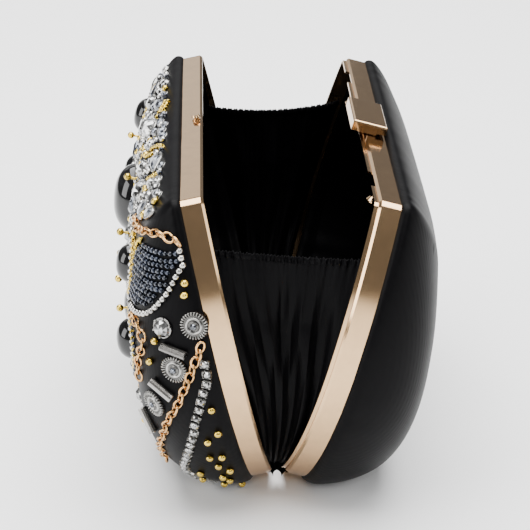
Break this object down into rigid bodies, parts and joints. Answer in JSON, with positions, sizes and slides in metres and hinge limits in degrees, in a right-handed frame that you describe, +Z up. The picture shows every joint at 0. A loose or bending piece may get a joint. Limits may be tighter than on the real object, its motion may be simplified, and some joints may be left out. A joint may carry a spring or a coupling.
{
  "type": "evening bag",
  "caption": "Open box clutch evening bag: two domed satin halves on polished metal frames hinged along the bottom, with a beaded front, rocking clasp and gathered side gussets.",
  "frame": {"origin": "on the surface the open bag stands on, under the middle of its box", "axes": "+X along the bag's length and the hinge, +Y towards the plain back half, +Z up"},
  "size_m": [0.1864, 0.1134, 0.1235],
  "materials": {
    "frame_gold": "polished pale rose gold",
    "black_satin": "satin",
    "lining_satin": "satin",
    "shell_board": "moulded, hidden",
    "elastic": "woven elastic",
    "hinge_steel": "plated",
    "spring_steel": "bright",
    "black_stone": "polished",
    "clear_stone": "faceted",
    "smoke_stone": "faceted",
    "silver_setting": "fluted",
    "bugle_glass": "lined",
    "bead_gold": "bright",
    "bead_silver": "bright",
    "seed_glass": "lustre",
    "chain_gold": "polished",
    "cup_stone": "rhinestone in metal cup"
  },
  "bodies": {
    "back_half": {"back_frame": "frame_gold", "back_frame_tongue": "frame_gold", "back_shell": "shell_board", "back_cover": "black_satin", "back_lining": "lining_satin", "back_hinge_leaf": "hinge_steel", "back_hinge_rivets": "hinge_steel", "hinge_pin": "hinge_steel", "clasp_base": "frame_gold", "clasp_spring": "spring_steel", "strap_post_left": "frame_gold", "strap_post_right": "frame_gold", "gusset_left": "lining_satin", "gusset_right": "lining_satin", "gusset_elastic_left": "elastic", "gusset_elastic_right": "elastic"},
    "front_half": {"front_frame": "frame_gold", "front_shell": "shell_board", "front_cover": "black_satin", "front_lining": "lining_satin", "front_hinge_leaf": "hinge_steel", "front_hinge_rivets": "hinge_steel", "catch_stud": "frame_gold", "oval_cabochons": "black_stone", "round_stones": "clear_stone", "navette_stones": "smoke_stone", "fluted_settings": "silver_setting", "bugle_beads": "bugle_glass", "gold_beads": "bead_gold", "gold_foot_beads": "bead_gold", "silver_beads": "bead_silver", "seed_bead_fields": "seed_glass", "curb_chains": "chain_gold", "cup_chains": "cup_stone"},
    "clasp_lever": {"clasp_lever": "frame_gold", "clasp_pin": "spring_steel"}
  },
  "joints": [
    {"name": "frame_hinge", "type": "hinge", "parent": "back_half", "child": "front_half", "pos_m": [0, 0.00123, 0.00258], "axis": [1, 0, 0], "range_deg": [-27.7, 0], "deforming": ["gusset_left", "gusset_right", "gusset_elastic_left", "gusset_elastic_right"]},
    {"name": "clasp_rock", "type": "hinge", "parent": "back_half", "child": "clasp_lever", "pos_m": [0, 0.03832, 0.11899], "axis": [1, 0, 0], "range_deg": [-8, 0], "stiffness_Nm_per_rad": 0.02, "springref_deg": 8.59}
  ]
}
